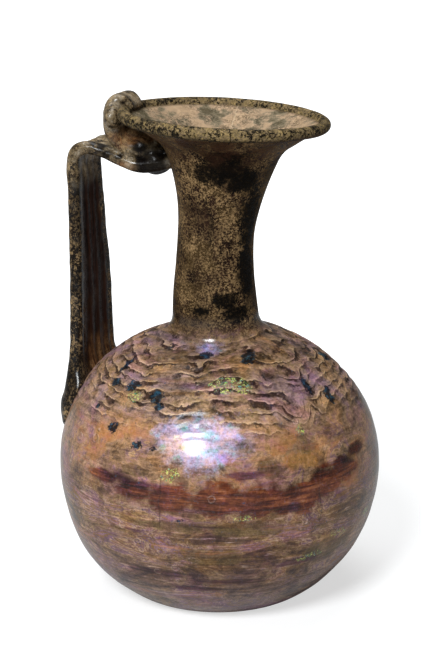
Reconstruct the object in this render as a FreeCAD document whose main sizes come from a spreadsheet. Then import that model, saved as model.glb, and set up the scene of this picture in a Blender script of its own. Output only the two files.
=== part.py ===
import FreeCAD, Part
import math
import os
import Sketcher
from FreeCAD import Vector

# A small round jug of blown glass with a ribbed strap handle.
# Millimetres, +Z up. The origin is the centre of the ring that the jug stands on.
# The handle leaves the shoulder on the -X side, and the mouth leans a little towards +X.

doc = FreeCAD.newDocument("glass_jug")
dims = doc.addObject("Spreadsheet::Sheet", "Dims")

SIZES = {
    # Belly: its widest ring, the arc above that ring and the round heel below it.
    "belly_radius": 40.0,
    "belly_height": 32.0,
    "shoulder_arc": 35.4,
    "heel_arc": 9.7,
    "wall": 2.0,
    # Base: a flat ring round a pushed-in middle.
    "ring_outer": 18.0,
    "ring_inner": 13.0,
    "kick_height": 2.0,
    # Neck: narrowest where it bends, with a fillet at its root.
    "neck_radius": 9.25,
    "neck_arc": 170.0,
    "root_fillet": 5.0,
    "bend_height": 89.0,
    "bend_radius": 50.0,
    "mouth_lean": 3.0,
    # Mouth, measured from the top of the bend along its leaning axis:
    # a long flare, a tighter turn, a straight lip and a folded rim of round section.
    "flare_arc": 41.0,
    "lip_turn": 8.0,
    "rim_radius": 25.7,
    "rim_bead": 1.5,
    "rim_rise": 26.7,
    "lip_slope": 26.0,
    # Strap section: two round edge ribs, and a thinner web with three low ribs on each face.
    "web_share": 0.62,
    "low_rib_share": 0.9,
    # Strap line: how far its foot stands inside the belly's widest ring, how far its top
    # stands outside the rim, and how far below the rim's bead it turns in.
    "strap_inset": 6.0,
    "strap_reach": 8.9,
    "corner_radius": 3.2,
    "corner_drop": 8.9,
}

# The strap is drawn through stations. For each: how far it lies beyond its reference place,
# outwards and upwards; its turn in degrees, from straight up towards the neck; its width;
# its edge rib.
STATIONS = {
    # Beside the belly: beyond the line of the strap's foot and above the belly's widest ring.
    "foot": (-0.8, 13.0, 0.0, 24.6, 5.6),
    "flare": (-0.1, 24.0, 0.0, 22.4, 3.8),
    # Beside the neck: beyond the line of the strap's top and above the belly's widest ring.
    "grip": (-0.7, 42.0, 0.0, 20.6, 3.2),
    "upper": (-0.3, 59.0, 0.0, 17.0, 3.2),
    # The top corner: its own radius gives the places.
    "corner_start": (0.0, 0.0, 0.0, 16.4, 3.2),
    "corner_middle": (0.0, 0.0, 45.0, 16.2, 3.2),
    "corner_end": (0.0, 0.0, 91.0, 15.8, 3.0),
    # The bridge: a share of the way from the neck to the corner, and above the rim's bead.
    "sag": (0.88, -10.5, 92.0, 14.8, 2.8),
    "slope": (0.69, -12.0, 107.0, 12.8, 2.8),
    "dip": (0.51, -13.2, 93.0, 11.4, 2.8),
    "rise": (0.33, -12.6, 76.0, 10.2, 2.8),
    # Pressed on the neck: beyond its radius.
    "press": (1.3, -10.9, 67.0, 9.0, 2.8),
    "fold_root": (1.9, -10.4, -76.0, 8.6, 3.2),
    # Folded back under the lip: a share of the way from the neck to the rim.
    "fold": (0.62, -10.0, -80.0, 9.4, 3.4),
    # Looped over the rim: beyond the rim's radius.
    "lift": (-0.1, -8.3, -62.0, 9.0, 3.6),
    "turn_up": (2.0, -5.2, -12.0, 8.6, 4.2),
    "beside_rim": (2.1, -1.6, 3.0, 8.4, 4.2),
    "over_rim": (1.9, 0.9, 32.0, 8.2, 3.4),
    "on_rim": (0.5, 2.8, 80.0, 8.0, 2.4),
    "tail": (-1.6, 2.2, 115.0, 7.4, 2.0),
}


def fill_sheet():
    cells = dict(SIZES)
    for station, values in STATIONS.items():
        for word, value in zip(("out", "up", "turn", "width", "rib"), values):
            cells[f"{station}_{word}"] = value
    for row, (alias, value) in enumerate(cells.items(), start=1):
        dims.set(f"A{row}", alias)
        dims.set(f"B{row}", str(value))
        dims.setAlias(f"B{row}", alias)
    doc.recompute()


fill_sheet()


def size(alias):
    return float(dims.get(alias))


def meet(first, reach_first, second, reach_second):
    """One crossing of two circles: the one on the left, going from the first centre to the second."""
    gap = math.dist(first, second)
    along = (gap**2 + reach_first**2 - reach_second**2) / (2 * gap)
    side = math.sqrt(reach_first**2 - along**2)
    ux, uy = (second[0] - first[0]) / gap, (second[1] - first[1]) / gap
    return (first[0] + along * ux - side * uy, first[1] + along * uy + side * ux)


def heading(start, end):
    return math.degrees(math.atan2(end[1] - start[1], end[0] - start[0])) % 360


class Outline:
    """A sketch drawn near its final form, whose dimensions are formulas on the sheet's values."""

    def __init__(self, body, name, plane, offset=None):
        self.sketch = body.newObject("Sketcher::SketchObject", name)
        origin = next(f for f in body.Origin.OriginFeatures if f.Role == plane)
        self.sketch.AttachmentSupport = [(origin, "")]
        self.sketch.MapMode = "FlatFace"
        if offset:
            self.sketch.setExpression("AttachmentOffset", offset)

    def line(self, start, end, construction=False):
        edge = Part.LineSegment(Vector(*start, 0), Vector(*end, 0))
        return self.sketch.addGeometry(edge, construction)

    def arc(self, centre, radius, first, last):
        circle = Part.Circle(Vector(*centre, 0), Vector(0, 0, 1), radius)
        edge = Part.ArcOfCircle(circle, math.radians(first), math.radians(last))
        return self.sketch.addGeometry(edge, False)

    def tie(self, kind, *refs):
        self.sketch.addConstraint(Sketcher.Constraint(kind, *refs))

    def bind(self, kind, refs, now, formula):
        index = self.sketch.addConstraint(Sketcher.Constraint(kind, *refs, now))
        self.sketch.setExpression(f"Constraints[{index}]", formula)

    def bind_x(self, edge, point, formula):
        self.bind("DistanceX", (-1, 1, edge, point), self.sketch.getPoint(edge, point).x, formula)

    def bind_y(self, edge, point, formula):
        self.bind("DistanceY", (-1, 1, edge, point), self.sketch.getPoint(edge, point).y, formula)

    def bind_radius(self, edge, formula):
        self.bind("Radius", (edge,), self.sketch.Geometry[edge].Radius, formula)


START, END, CENTRE = 1, 2, 3


def belly_outline(body, name, inset):
    """Half section of the jug below its bend, the given distance inside the outer surface."""
    gap = size(inset) if inset else 0.0
    less = f" - Dims.{inset}" if inset else ""
    more = f" + Dims.{inset}" if inset else ""
    belly, waist, neck = size("belly_height"), size("bend_height"), size("neck_radius")
    shoulder, root, heel = size("shoulder_arc"), size("root_fillet"), size("heel_arc")
    kick_arc = (size("ring_inner") ** 2 + size("kick_height") ** 2) / (2 * size("kick_height"))
    across, up = size("belly_radius") - size("ring_outer"), belly - heel
    belly_arc = (across**2 + up**2 - heel**2) / (2 * (across - heel))

    kick_at = (0.0, size("kick_height") - kick_arc)
    heel_at = (size("ring_outer"), heel)
    belly_at = (size("belly_radius") - belly_arc, belly)
    shoulder_at = (size("belly_radius") - shoulder, belly)
    neck_at = (neck + size("neck_arc"), waist)
    root_at = meet(shoulder_at, shoulder + root, neck_at, size("neck_arc") - root)
    low = heading(belly_at, heel_at) - 360
    high = heading(shoulder_at, root_at)
    flat = math.degrees(math.acos((gap - kick_at[1]) / (kick_arc + gap)))
    ring_from = ((kick_arc + gap) * math.sin(math.radians(flat)), gap)

    o = Outline(body, name, "XZ_Plane")
    kick = o.arc(kick_at, kick_arc + gap, 90 - flat, 90)
    ring = o.line(ring_from, (heel_at[0], gap))
    corner = o.arc(heel_at, heel - gap, -90, low)
    lower = o.arc(belly_at, belly_arc - gap, low, 0)
    upper = o.arc(shoulder_at, shoulder - gap, 0, high)
    fillet = o.arc(root_at, root + gap, heading(neck_at, root_at), high + 180)
    side = o.arc(neck_at, size("neck_arc") + gap, 180, heading(neck_at, root_at))
    top = o.line((neck - gap, waist), (0, waist))
    axis = o.line((0, waist), (0, kick_at[1] + kick_arc + gap))

    o.tie("Coincident", kick, START, ring, START)
    o.tie("Tangent", ring, END, corner, START)
    o.tie("Tangent", corner, END, lower, START)
    o.tie("Coincident", lower, END, upper, START)
    o.tie("Tangent", upper, END, fillet, END)
    o.tie("Tangent", fillet, START, side, END)
    o.tie("Coincident", side, START, top, START)
    o.tie("Coincident", top, END, axis, START)
    o.tie("Coincident", axis, END, kick, END)
    o.tie("PointOnObject", kick, CENTRE, -2)
    o.tie("PointOnObject", top, END, -2)
    o.tie("Vertical", axis)
    o.tie("Horizontal", ring)
    o.tie("Horizontal", top)
    half_kick = "(Dims.ring_inner ^ 2 + Dims.kick_height ^ 2) / (2 * Dims.kick_height)"
    o.bind_y(kick, CENTRE, f"Dims.kick_height - {half_kick}")
    o.bind_radius(kick, half_kick + more)
    if inset:
        o.bind_y(ring, START, f"Dims.{inset}")
    else:
        o.tie("PointOnObject", ring, START, -1)
    o.bind_x(corner, CENTRE, "Dims.ring_outer")
    o.bind_y(corner, CENTRE, "Dims.heel_arc")
    o.bind_x(lower, END, f"Dims.belly_radius{less}")
    o.bind_y(lower, END, "Dims.belly_height")
    o.bind_y(lower, CENTRE, "Dims.belly_height")
    o.bind_y(upper, CENTRE, "Dims.belly_height")
    o.bind_radius(upper, f"Dims.shoulder_arc{less}")
    o.bind_radius(fillet, f"Dims.root_fillet{more}")
    o.bind_x(side, START, f"Dims.neck_radius{less}")
    o.bind_y(side, START, "Dims.bend_height")
    o.bind_y(side, CENTRE, "Dims.bend_height")
    o.bind_radius(side, f"Dims.neck_arc{more}")
    return o.sketch


LEAN = "(Dims.mouth_lean * 1 deg)"
MOUTH_X = f"Dims.bend_radius * (1 - cos{LEAN})"
MOUTH_Z = f"(Dims.bend_height + Dims.bend_radius * sin{LEAN})"


def mouth_outline(body, name, inset):
    """Half section of the mouth about its own leaning axis: the solid form, or the hollow inside it."""
    gap = size(inset) if inset else 0.0
    less = f" - Dims.{inset}" if inset else ""
    more = f" + Dims.{inset}" if inset else ""
    neck, flare, turn = size("neck_radius"), size("flare_arc"), size("lip_turn")
    bead, slope = size("rim_bead"), math.radians(size("lip_slope"))
    bead_at = (size("rim_radius") - bead, size("rim_rise"))
    flare_at = (neck + flare, 0.0)

    # The turn touches the underside line of the lip, which touches the rim's bead from below.
    normal = (-math.sin(slope), math.cos(slope))
    touch = (bead_at[0] - bead * normal[0], bead_at[1] - bead * normal[1])
    # Its centre lies below that line, turn away from it, and flare - turn away from the flare's centre.
    base = (touch[0] - turn * normal[0], touch[1] - turn * normal[1])
    along = (math.cos(slope), math.sin(slope))
    rel = (base[0] - flare_at[0], base[1] - flare_at[1])
    half = rel[0] * along[0] + rel[1] * along[1]
    reach = half**2 - (rel[0] ** 2 + rel[1] ** 2 - (flare - turn) ** 2)
    slide = -half - math.sqrt(reach)
    turn_at = (base[0] + slide * along[0], base[1] + slide * along[1])
    steep = heading(flare_at, turn_at)
    lip_from = (turn_at[0] + (turn + gap) * normal[0], turn_at[1] + (turn + gap) * normal[1])

    place = f"placement(vector({MOUTH_X}; {MOUTH_Z}; 0); rotation(-Dims.mouth_lean; 0; 0))"
    o = Outline(body, name, "XZ_Plane", place)
    side = o.arc(flare_at, flare + gap, steep, 180)
    bend = o.arc(turn_at, turn + gap, math.degrees(slope) + 90, steep)
    high = (0.0, bead_at[1] + bead)
    if inset:
        # The lip's inner face runs into the bead, and the hollow goes on over the bead's inner half.
        off = -bead + gap
        back = -math.sqrt(bead**2 - off**2)
        lip_to = (
            bead_at[0] + off * normal[0] + back * along[0],
            bead_at[1] + off * normal[1] + back * along[1],
        )
        lip = o.line(lip_from, lip_to)
        rim = o.arc(bead_at, bead, 90, heading(bead_at, lip_to))
        rim_first, rim_last = END, START
    else:
        lip = o.line(lip_from, touch)
        rim = o.arc(bead_at, bead, math.degrees(slope) - 90, 90)
        rim_first, rim_last = START, END
    top = o.line((bead_at[0], high[1]), high)
    axis = o.line(high, (0, 0))
    floor = o.line((0, 0), (neck - gap, 0))

    o.tie("Coincident", floor, END, side, END)
    o.tie("Tangent", side, START, bend, END)
    o.tie("Tangent", bend, START, lip, START)
    o.tie("Coincident" if inset else "Tangent", lip, END, rim, rim_first)
    o.tie("Coincident", rim, rim_last, top, START)
    o.tie("Coincident", top, END, axis, START)
    o.tie("Coincident", axis, END, floor, START)
    o.tie("PointOnObject", top, END, -2)
    o.tie("Coincident", axis, END, -1, 1)
    o.tie("PointOnObject", floor, END, -1)
    o.tie("PointOnObject", side, CENTRE, -1)
    o.tie("Horizontal", top)
    o.bind_x(floor, END, f"Dims.neck_radius{less}")
    o.bind_radius(side, f"Dims.flare_arc{more}")
    o.bind_radius(bend, f"Dims.lip_turn{more}")
    o.bind_x(rim, CENTRE, "Dims.rim_radius - Dims.rim_bead")
    o.bind_y(rim, CENTRE, "Dims.rim_rise")
    o.bind_radius(rim, "Dims.rim_bead")
    o.bind_x(top, START, "Dims.rim_radius - Dims.rim_bead")
    if inset:
        # The inner face lies one wall above the underside that touches the bead.
        guide = o.line(touch, bead_at, True)
        seam = o.line(touch, (touch[0] + gap * normal[0], touch[1] + gap * normal[1]), True)
        o.tie("Coincident", guide, END, rim, CENTRE)
        o.tie("Coincident", guide, START, seam, START)
        o.tie("Parallel", guide, seam)
        o.tie("Perpendicular", guide, lip)
        o.tie("PointOnObject", seam, END, lip)
        o.bind("Distance", (guide,), bead, "Dims.rim_bead")
        o.bind("Distance", (seam,), gap, f"Dims.{inset}")
    o.bind("Angle", (-1, 1, lip, START), slope, "Dims.lip_slope * 1 deg")
    return o.sketch


def bend_outline(body, name, inset):
    """The neck's round section at the foot of its bend, and the line that the bend turns about."""
    gap = size(inset) if inset else 0.0
    less = f" - Dims.{inset}" if inset else ""
    o = Outline(body, name, "XY_Plane", "placement(vector(0; 0; Dims.bend_height); rotation(0; 0; 0))")
    circle = Part.Circle(Vector(0, 0, 0), Vector(0, 0, 1), size("neck_radius") - gap)
    ring = o.sketch.addGeometry(circle, False)
    hinge = o.line((size("bend_radius"), 0), (size("bend_radius"), size("neck_radius")), True)
    o.tie("Coincident", ring, CENTRE, -1, 1)
    o.bind_radius(ring, f"Dims.neck_radius{less}")
    o.tie("Vertical", hinge)
    o.tie("PointOnObject", hinge, START, -1)
    o.bind_x(hinge, START, "Dims.bend_radius")
    o.bind_y(hinge, END, "Dims.neck_radius")
    return o.sketch


def turned(body, kind, name, sketch, axis="V_Axis", angle=None):
    feature = body.newObject(f"PartDesign::{kind}", name)
    feature.Profile = sketch
    feature.ReferenceAxis = (sketch, [axis])
    if angle:
        feature.setExpression("Angle", angle)
    else:
        feature.Angle = 360
    return feature


vessel = doc.addObject("PartDesign::Body", "BlownVessel")
vessel.Label = "blown_vessel"
turned(vessel, "Revolution", "BellyForm", belly_outline(vessel, "BellyOutside", None))
turned(vessel, "Revolution", "BendForm", bend_outline(vessel, "BendOutside", None), "Axis0", LEAN)
outside = turned(vessel, "Revolution", "MouthForm", mouth_outline(vessel, "MouthOutside", None))
doc.recompute()
turned(vessel, "Groove", "MouthHollow", mouth_outline(vessel, "MouthInside", "wall"))
turned(vessel, "Groove", "BendHollow", bend_outline(vessel, "BendInside", "wall"), "Axis0", LEAN)
turned(vessel, "Groove", "BellyHollow", belly_outline(vessel, "BellyInside", "wall"))
doc.recompute()


def ribbed_section(body, station, x, z, turn):
    """The strap's section: round ribs at both edges, and three low ribs on each face between them."""
    width, rib = f"Dims.{station}_width", f"Dims.{station}_rib"
    edge_x, edge_y = f"({width} / 2 - 3 * {rib} / 4)", f"({rib} * sqrt(3) / 4)"
    dent_x, dent_y = f"({edge_x} / 3)", f"(Dims.web_share * {rib} / 2)"
    low_rib = f"Dims.low_rib_share * {edge_x}"

    radius = size(f"{station}_rib") / 2
    ex, ey = size(f"{station}_width") / 2 - 1.5 * radius, radius * math.sqrt(3) / 2
    dx, dy = ex / 3, size("web_share") * radius
    corners = [(ex, ey), (dx, dy), (-dx, dy), (-ex, ey), (-ex, -ey), (-dx, -dy), (dx, -dy), (ex, -ey)]
    place = f"placement(vector({x}; 0; {z}); rotation(90; 0; {turn}))"
    o = Outline(body, f"Section_{station}", "XY_Plane", place)

    def bulging(first, last, reach, hollow):
        """An arc of the given radius from one corner to the next, anticlockwise."""
        chord = math.dist(first, last)
        way = ((last[1] - first[1]) / chord, (first[0] - last[0]) / chord)
        middle = ((first[0] + last[0]) / 2, (first[1] + last[1]) / 2)
        depth = math.sqrt(reach**2 - chord**2 / 4) * (1 if hollow else -1)
        centre = (middle[0] + way[0] * depth, middle[1] + way[1] * depth)
        return o.arc(centre, reach, heading(centre, first), heading(centre, last))

    edges = []
    for index, first in enumerate(corners):
        last = corners[(index + 1) % len(corners)]
        at_edge = index % 4 == 3
        edges.append(bulging(first, last, radius if at_edge else size("low_rib_share") * ex, at_edge))
    for index, edge in enumerate(edges):
        o.tie("Coincident", edge, END, edges[(index + 1) % len(edges)], START)
        o.bind_radius(edge, f"{rib} / 2" if index % 4 == 3 else low_rib)
        at_edge = index % 4 in (0, 3)
        side = "-" if corners[index][0] < 0 else ""
        face = "-" if corners[index][1] < 0 else ""
        o.bind_x(edge, START, side + (edge_x if at_edge else dent_x))
        o.bind_y(edge, START, face + (edge_y if at_edge else dent_y))
    return o.sketch


FOOT_LINE = "(Dims.belly_radius - Dims.strap_inset)"
TOP_LINE = "(Dims.rim_radius + Dims.strap_reach)"
CORNER = "(Dims.bend_height + Dims.rim_rise - Dims.corner_drop)"
BRIDGE = f"({TOP_LINE} - Dims.corner_radius - Dims.neck_radius)"
LIP = "(Dims.rim_radius - Dims.neck_radius)"


def above_belly(body, station, line):
    out = f"({line} + Dims.{station}_out)"
    up = f"Dims.belly_height + Dims.{station}_up"
    return ribbed_section(body, station, f"-{out}", up, f"Dims.{station}_turn")


def round_corner(body, station):
    turn = f"(Dims.{station}_turn * 1 deg)"
    out = f"({TOP_LINE} + Dims.{station}_out - Dims.corner_radius * (1 - cos{turn}))"
    up = f"{CORNER} + Dims.{station}_up + Dims.corner_radius * sin{turn}"
    return ribbed_section(body, station, f"-{out}", up, f"Dims.{station}_turn")


def beside_mouth(body, station, radius, run="1"):
    out = f"(Dims.{radius} + Dims.{station}_out * {run})"
    up = f"(Dims.rim_rise + Dims.{station}_up)"
    x = f"{MOUTH_X} - {out} * cos{LEAN} + {up} * sin{LEAN}"
    z = f"{MOUTH_Z} + {out} * sin{LEAN} + {up} * cos{LEAN}"
    return ribbed_section(body, station, x, z, f"Dims.{station}_turn + Dims.mouth_lean")


strap = doc.addObject("PartDesign::Body", "DrawnStrap")
FOOT_STATIONS = ("foot", "flare")
GRIP_STATIONS = ("grip", "upper")
CORNER_STATIONS = ("corner_start", "corner_middle", "corner_end")
BRIDGE_STATIONS = ("sag", "slope", "dip", "rise")
NECK_STATIONS = ("press", "fold_root")
RIM_STATIONS = ("lift", "turn_up", "beside_rim", "over_rim", "on_rim", "tail")
sections = {station: above_belly(strap, station, FOOT_LINE) for station in FOOT_STATIONS}
sections.update({station: above_belly(strap, station, TOP_LINE) for station in GRIP_STATIONS})
sections.update({station: round_corner(strap, station) for station in CORNER_STATIONS})
for station in BRIDGE_STATIONS:
    sections[station] = beside_mouth(strap, station, "neck_radius", BRIDGE)
sections.update({station: beside_mouth(strap, station, "neck_radius") for station in NECK_STATIONS})
sections["fold"] = beside_mouth(strap, "fold", "neck_radius", LIP)
sections.update({station: beside_mouth(strap, station, "rim_radius") for station in RIM_STATIONS})
doc.recompute()

STRETCHES = {
    "Riser": ("foot", "flare", "grip", "upper", "corner_start"),
    "Corner": ("corner_start", "corner_middle", "corner_end"),
    "Bridge": ("corner_end", "sag", "slope", "dip", "rise", "press"),
    "Fold": ("fold_root", "fold", "lift", "turn_up"),
    "RimLoop": ("turn_up", "beside_rim", "over_rim", "on_rim", "tail"),
}
# The riser runs straight from one station to the next, and the other stretches curve through them.
for name, stations in STRETCHES.items():
    stretch = strap.newObject("PartDesign::AdditiveLoft", name)
    stretch.Profile = sections[stations[0]]
    stretch.Sections = [sections[station] for station in stations[1:]]
    stretch.Ruled = name == "Riser"
    doc.recompute()

# The hot strap takes the form of the shoulder, neck and rim that it is pressed on.
handle = doc.addObject("Part::Cut", "StrapHandle")
handle.Label = "strap_handle"
handle.Base = strap
handle.Tool = outside
doc.recompute()

for item in doc.Objects:
    if "Invalid" in item.State or "Error" in item.State:
        raise RuntimeError(f"{item.Label} failed: {item.State}")

os.makedirs("parts", exist_ok=True)
for node in (vessel, handle):
    shape = node.Shape
    if shape.isNull() or not shape.isValid() or len(shape.Solids) != 1:
        raise RuntimeError(f"{node.Label} is not one valid solid")
    shape.exportStep(f"parts/{node.Label}.step")
    print(f"{node.Label}: {shape.Volume / 1000:.1f} cm3, {len(shape.Faces)} faces")
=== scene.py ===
# %% [markdown]
# # A small round jug of blown glass
# The real jug was blown from one gather of glass: a round belly, a narrow neck and a wide mouth
# with a folded rim. A strap of hot glass was then drawn from the shoulder up to the rim, folded
# back on itself and looped over the edge. Long burial has covered it with thin, flaking layers
# that shine in pink, gold and violet.
# This lesson dresses the measured solids of the jug. It loads them first, because every later
# piece is placed on them without any fitting.

# %% Load the measured solids
import math

import bmesh
import bpy
import numpy as np
from mathutils import Matrix, Vector, noise


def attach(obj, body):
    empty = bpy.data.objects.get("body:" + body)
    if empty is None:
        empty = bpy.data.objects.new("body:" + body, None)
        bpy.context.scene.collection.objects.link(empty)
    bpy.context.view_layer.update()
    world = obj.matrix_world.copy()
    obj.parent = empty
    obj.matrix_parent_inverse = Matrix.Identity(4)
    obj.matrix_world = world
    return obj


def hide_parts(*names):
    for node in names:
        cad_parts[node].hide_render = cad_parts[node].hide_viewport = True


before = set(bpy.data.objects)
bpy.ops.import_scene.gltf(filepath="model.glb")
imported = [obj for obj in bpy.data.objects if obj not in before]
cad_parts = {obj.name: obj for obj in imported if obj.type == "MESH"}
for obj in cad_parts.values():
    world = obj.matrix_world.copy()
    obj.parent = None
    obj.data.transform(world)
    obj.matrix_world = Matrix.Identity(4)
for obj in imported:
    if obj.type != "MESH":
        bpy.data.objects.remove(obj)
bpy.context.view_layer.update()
MM = 0.001
print("solids:", sorted(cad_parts))

# %% [markdown]
# ## The half section
# A blown vessel is round, so one half section turned about the axis gives its whole form.
# The section could be a Bezier curve, but the solids are made of arcs, and a spun vertex draws
# the same arcs as a pair of compasses does. Each new arc starts where the last one ended.


# %% Compasses and a ruler for the half section
BACK = -1


def arc_on(drawing, end, arc, pitch=0.9, way=1):
    """Carries the section on along an arc, or back along it, with points about one pitch apart."""
    centre, sweep = arc
    angle = math.radians(sweep)
    reach = math.dist((end.co.x, end.co.z), centre)
    made = bmesh.ops.spin(
        drawing, geom=[end], cent=(centre[0], 0, centre[1]), axis=(0, -1, 0),
        angle=angle * way, steps=max(2, round(abs(angle) * reach / pitch)),
    )
    return next(part for part in made["geom_last"] if isinstance(part, bmesh.types.BMVert))


def line_on(drawing, end, goal, steps):
    """Carries the section on in a straight line to a point in millimetres."""
    stride = Vector((goal[0] - end.co.x, 0, goal[1] - end.co.z)) / steps
    for _ in range(steps):
        start = end.co.copy()
        end = bmesh.ops.extrude_vert_indiv(drawing, verts=[end])["verts"][0]
        end.co = start + stride
    return end


# %% The arcs: centre in millimetres and sweep in degrees, from the base to the rim
KICK = (0, -41.25), -17.49
HEEL = (18, 9.7), 32.24
BELLY = (3.935, 32), 57.76
SHOULDER = (4.6, 32), 74.734
ROOT = (15.2376, 70.9744), -68.462
NECK = (179.25, 89), -6.272
FLARE = (50.25, 91.618), -25.755
LIP = (20.528, 105.957), -38.245
RIM = (24.1, 118.05), 313
WAIST = 89.0
NECK_RADIUS = 9.25
WALL = 2.0
# The points that straight lines and the two middles of the base run to.
BASE_UNDER, BASE_OVER, FOOT = (0, 2), (0, 4), (18, 0)
FLARE_START, LIP_END, FOLD_END = (NECK_RADIUS, 91.618), (23.05, 117.0), (16.14, 114.95)

# %% Draw the outside up to the rim
section = bmesh.new()
pen = section.verts.new((BASE_UNDER[0], 0, BASE_UNDER[1]))
pen = arc_on(section, pen, KICK, 2.0)
pen = line_on(section, pen, FOOT, 3)
for arc, pitch in ((HEEL, 0.9), (BELLY, 0.8), (SHOULDER, 0.62), (ROOT, 0.9), (NECK, 0.9)):
    pen = arc_on(section, pen, arc, pitch)
pen = line_on(section, pen, FLARE_START, 3)
for arc in (FLARE, LIP):
    pen = arc_on(section, pen, arc)
pen = line_on(section, pen, LIP_END, 7)
outline = np.array([(vert.co.x, vert.co.z) for vert in section.verts])
print("outside:", len(outline), "points")

# %% Fold the rim and draw the inside back down
pen = arc_on(section, pen, RIM, 0.4)
pen = line_on(section, pen, FOLD_END, 8)
for arc, pitch in ((LIP, 1.2), (FLARE, 1.5)):
    pen = arc_on(section, pen, arc, pitch, BACK)
pen = line_on(section, pen, (NECK_RADIUS - WALL, WAIST), 1)
for arc, pitch in ((NECK, 3.0), (ROOT, 2.0), (SHOULDER, 4.0), (BELLY, 4.0), (HEEL, 3.0)):
    pen = arc_on(section, pen, arc, pitch, BACK)
pen = line_on(section, pen, BASE_OVER, 5)
print("half section:", len(section.verts), "points")

# %% [markdown]
# ## The blown vessel
# Turning the section about the axis is what the blowpipe does, and one spin operator does it here.
# Blown glass is never quite true, so the spun form then gets what the hand leaves on it: a mouth
# that leans, a neck a little out of line, a few shallow dents and slow swells in the wall.

# %% Spin the section
AROUND = 320
bmesh.ops.spin(
    section, geom=section.verts[:] + section.edges[:], cent=(0, 0, 0), axis=(0, 0, 1),
    angle=math.tau, steps=AROUND, use_merge=True,
)
bmesh.ops.remove_doubles(section, verts=section.verts, dist=0.01)
bmesh.ops.recalc_face_normals(section, faces=section.faces)
vessel_mesh = bpy.data.meshes.new("weathered_vessel")
section.to_mesh(vessel_mesh)
section.free()
print("vessel:", len(vessel_mesh.polygons), "faces")


# %% Read a mesh as arrays, write it back, and measure along the section
BASE_POINTS = 5


def read_mesh(mesh, what="co"):
    """The places or the normals of a mesh, with one row for each vertex."""
    values = np.empty(len(mesh.vertices) * 3)
    mesh.vertices.foreach_get(what, values)
    return values.reshape(-1, 3)


def put_points(mesh, points):
    """Writes places in millimetres into a mesh in metres."""
    mesh.vertices.foreach_set("co", (points * MM).ravel())
    mesh.update()


def skin_radius(height):
    """How far the outside stands from the axis at a height, above the pushed-in base."""
    return np.interp(height, outline[BASE_POINTS:, 1], outline[BASE_POINTS:, 0])


def swell(points, scale, stretch=(1, 1, 1), seed=0.0):
    """Smooth noise from -1 to 1 at each point, with features about 1 / scale millimetres wide."""
    cells = points * (np.array(stretch) * scale) + seed
    return np.array([noise.noise(Vector(cell)) for cell in cells])


def stand(name, data):
    """Puts a new object in the scene."""
    made = bpy.data.objects.new(name, data)
    bpy.context.scene.collection.objects.link(made)
    return made


def smooth_step(low, high, values):
    """0 below low, 1 above high, and an even S between. With low above high it falls instead."""
    share = np.clip((values - low) / (high - low), 0, 1)
    return share * share * (3 - 2 * share)


# %% Lean, tip, dent and swell the vessel
LEAN_DEGREES = 3.0
LEAN = math.radians(LEAN_DEGREES)
BEND_REACH = 50.0
SIDE_SEEN = math.radians(21)
RIGHT = np.array((math.cos(SIDE_SEEN), math.sin(SIDE_SEEN), 0))
FRONT = np.array((math.sin(SIDE_SEEN), -math.cos(SIDE_SEEN), 0))
TIP = math.radians(1.5)
RIM_HEIGHT = 118
# Heights, and how far to the right the axis has drifted at each, both in millimetres.
DRIFT_HEIGHTS = (0, 32, 60, 70, 85, 100, 118)
DRIFT = (0.3, 0.5, 0.2, -0.25, -0.6, -0.3, 0.3)
# Azimuth, height, radius and depth. A negative depth is a bulge.
DENTS = [(21, 19, 9, 0.8), (-150, 24, 10, 0.5), (-12, 103, 11, -0.8), (-155, 75, 9, -0.8)]
# The neck's root lies lower at this azimuth: azimuth, height, half angle, half height and depth.
SINK = (-77, 67.6, 45, 3.0, 1.8)


def lean(points):
    """Bends what is above the waist over towards +X, and carries it straight on past the bend."""
    x, z = points[:, 0], points[:, 2]
    turn = np.clip((z - WAIST) / BEND_REACH, 0, LEAN)
    past = np.clip(z - WAIST - BEND_REACH * LEAN, 0, None)
    bent = points.copy()
    bent[:, 0] = BEND_REACH - (BEND_REACH - x) * np.cos(turn) + past * np.sin(turn)
    above = WAIST + (BEND_REACH - x) * np.sin(turn) + past * np.cos(turn)
    bent[:, 2] = np.where(z > WAIST, above, z)
    return bent


def tip(points):
    """Tips the mouth a little back from the front, where the rim stands higher."""
    share = smooth_step(93, 113, points[:, 2])
    turn = TIP * share
    ahead = points @ FRONT
    forward = (np.cos(turn) - 1) * ahead - np.sin(turn) * (points[:, 2] - RIM_HEIGHT)
    tipped = points + forward[:, None] * FRONT * share[:, None]
    tipped[:, 2] += 0.6 * share + np.sin(turn) * ahead
    return tipped


def drift(points):
    """Carries the axis a little to and fro with height, as the hand did on the pipe."""
    return points + np.interp(points[:, 2], DRIFT_HEIGHTS, DRIFT)[:, None] * RIGHT


def dent(points, normals, azimuth, height, radius, depth):
    """Pushes the wall in by a soft round dent."""
    angle = math.radians(azimuth)
    reach = skin_radius(height)
    centre = np.array((reach * math.cos(angle), reach * math.sin(angle), height))
    away = np.linalg.norm(points - centre, axis=1) / radius
    return points - normals * (depth * np.exp(-away**2))[:, None]


spun = read_mesh(vessel_mesh)
normals = read_mesh(vessel_mesh, "normal")
azimuths = np.degrees(np.arctan2(spun[:, 1], spun[:, 0]))
radii = np.hypot(spun[:, 0], spun[:, 1])
heights = spun[:, 2]
unevenness = 0.30 * swell(spun, 0.045) + 0.10 * swell(spun, 0.16, seed=7)
blown = spun + normals * (smooth_step(1, 7, heights) * unevenness)[:, None]
sink_at, sink_height, half_angle, half_height, sink_depth = SINK
from_sink = ((azimuths - sink_at) / half_angle) ** 2 + ((heights - sink_height) / half_height) ** 2
blown[:, 2] -= sink_depth * np.exp(-from_sink)
for place in DENTS:
    blown = dent(blown, normals, *place)
print("swell:", round(float(np.abs(blown - spun).max()), 2), "mm at most")

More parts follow.
